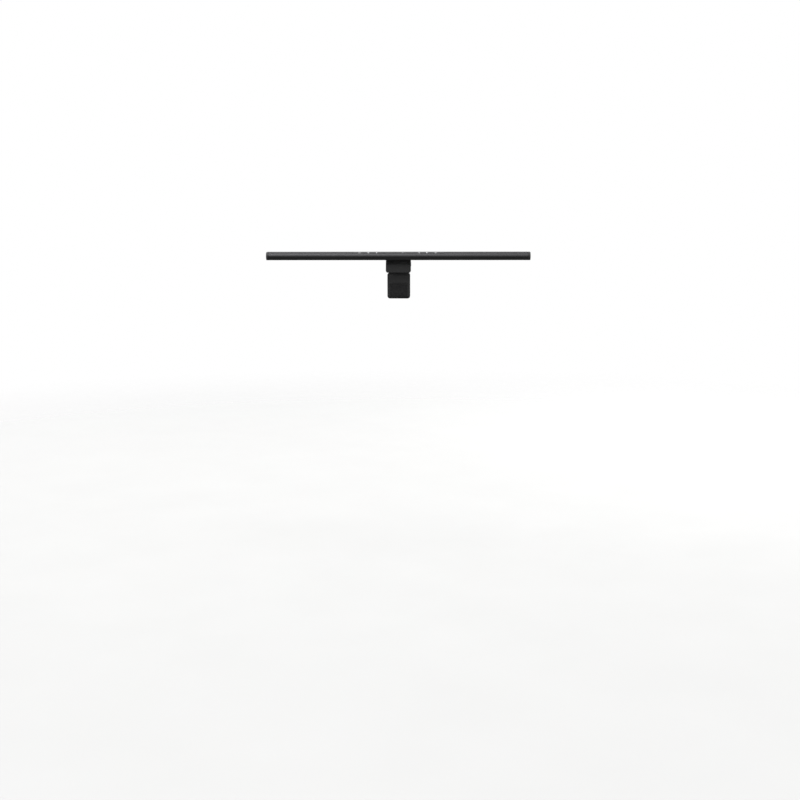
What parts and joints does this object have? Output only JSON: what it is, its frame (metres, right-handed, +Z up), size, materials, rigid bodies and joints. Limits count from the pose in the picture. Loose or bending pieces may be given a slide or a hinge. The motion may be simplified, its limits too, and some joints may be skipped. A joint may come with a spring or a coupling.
{
  "type": "monitor light bar",
  "caption": "Slim straight desk lamp bar with a round nose, a lens along its underside and a tilting clip with a weighted clamp arm that hangs on a monitor's top edge.",
  "frame": {"origin": "centre of the seat pad's underside, the face that rests on the monitor's top edge", "axes": "+X along the bar towards the viewer's right, +Y back over the monitor and away from the viewer, +Z up"},
  "size_m": [0.5, 0.071, 0.0912],
  "materials": {
    "anodised_aluminium": "fine bead-blasted and black anodised",
    "black_plastic": "finely textured moulding",
    "touch_gloss": "smooth satin-gloss strip",
    "frosted_lens": "frosted translucent acrylic",
    "mirror_film": "bright reflective sheet",
    "white_board": "white solder mask",
    "green_board": "green solder mask",
    "steel": "plain zinc-plated steel",
    "black_steel": "black oxide and black powder coat",
    "dark_rubber": "matt silicone",
    "cast_zinc": "rough cast zinc alloy",
    "copper_flex": "amber polyimide film"
  },
  "bodies": {
    "clip": {"clip_upper_shell": "black_plastic", "clip_lower_shell": "black_plastic", "clip_core_plate": "steel", "clip_screw_left": "steel", "clip_screw_right": "steel", "seat_pad": "dark_rubber", "lip_pad": "dark_rubber", "arm_hinge_pin": "steel", "left_pin_cap": "black_plastic", "right_pin_cap": "black_plastic", "arm_return_spring": "steel", "tilt_washer_left": "steel", "tilt_washer_right": "steel"},
    "lamp_head": {"bar_housing": "anodised_aluminium", "left_end_cap": "black_plastic", "right_end_cap": "black_plastic", "left_cap_screw_front": "black_steel", "left_cap_screw_rear": "black_steel", "right_cap_screw_front": "black_steel", "right_cap_screw_rear": "black_steel", "diffuser_lens": "frosted_lens", "light_reflector": "mirror_film", "led_strip_board": "white_board", "touch_panel": "touch_gloss", "touch_sensor_board": "green_board", "ambient_light_window": "touch_gloss", "driver_board": "green_board", "usb_c_port_shell": "steel", "usb_c_port_tongue": "black_plastic", "touch_flex_cable": "copper_flex", "led_lead_wire": "dark_rubber", "tilt_hinge_bracket": "black_steel", "bracket_nut_plate": "steel", "bracket_screw_left": "steel", "bracket_screw_right": "steel", "left_hinge_cap": "black_plastic", "right_hinge_cap": "black_plastic", "tilt_shaft": "steel"},
    "clamp_arm": {"arm_front_shell": "black_plastic", "arm_rear_cover": "black_plastic", "arm_counterweight": "cast_zinc", "rear_pad": "dark_rubber", "arm_screw_top_left": "black_steel", "arm_screw_top_right": "black_steel", "arm_screw_bottom_left": "black_steel", "arm_screw_bottom_right": "black_steel"}
  },
  "joints": [
    {"name": "lamp_tilt", "type": "hinge", "parent": "clip", "child": "lamp_head", "pos_m": [0, -0.0105, 0.0225], "axis": [1, 0, 0], "range_deg": [-15, 20]},
    {"name": "arm_swing", "type": "hinge", "parent": "clip", "child": "clamp_arm", "pos_m": [0, 0.02, 0.005], "axis": [1, 0, 0], "range_deg": [0, 55], "stiffness_Nm_per_rad": 0.08, "springref_deg": -45.84, "deforming": ["arm_return_spring"]}
  ]
}
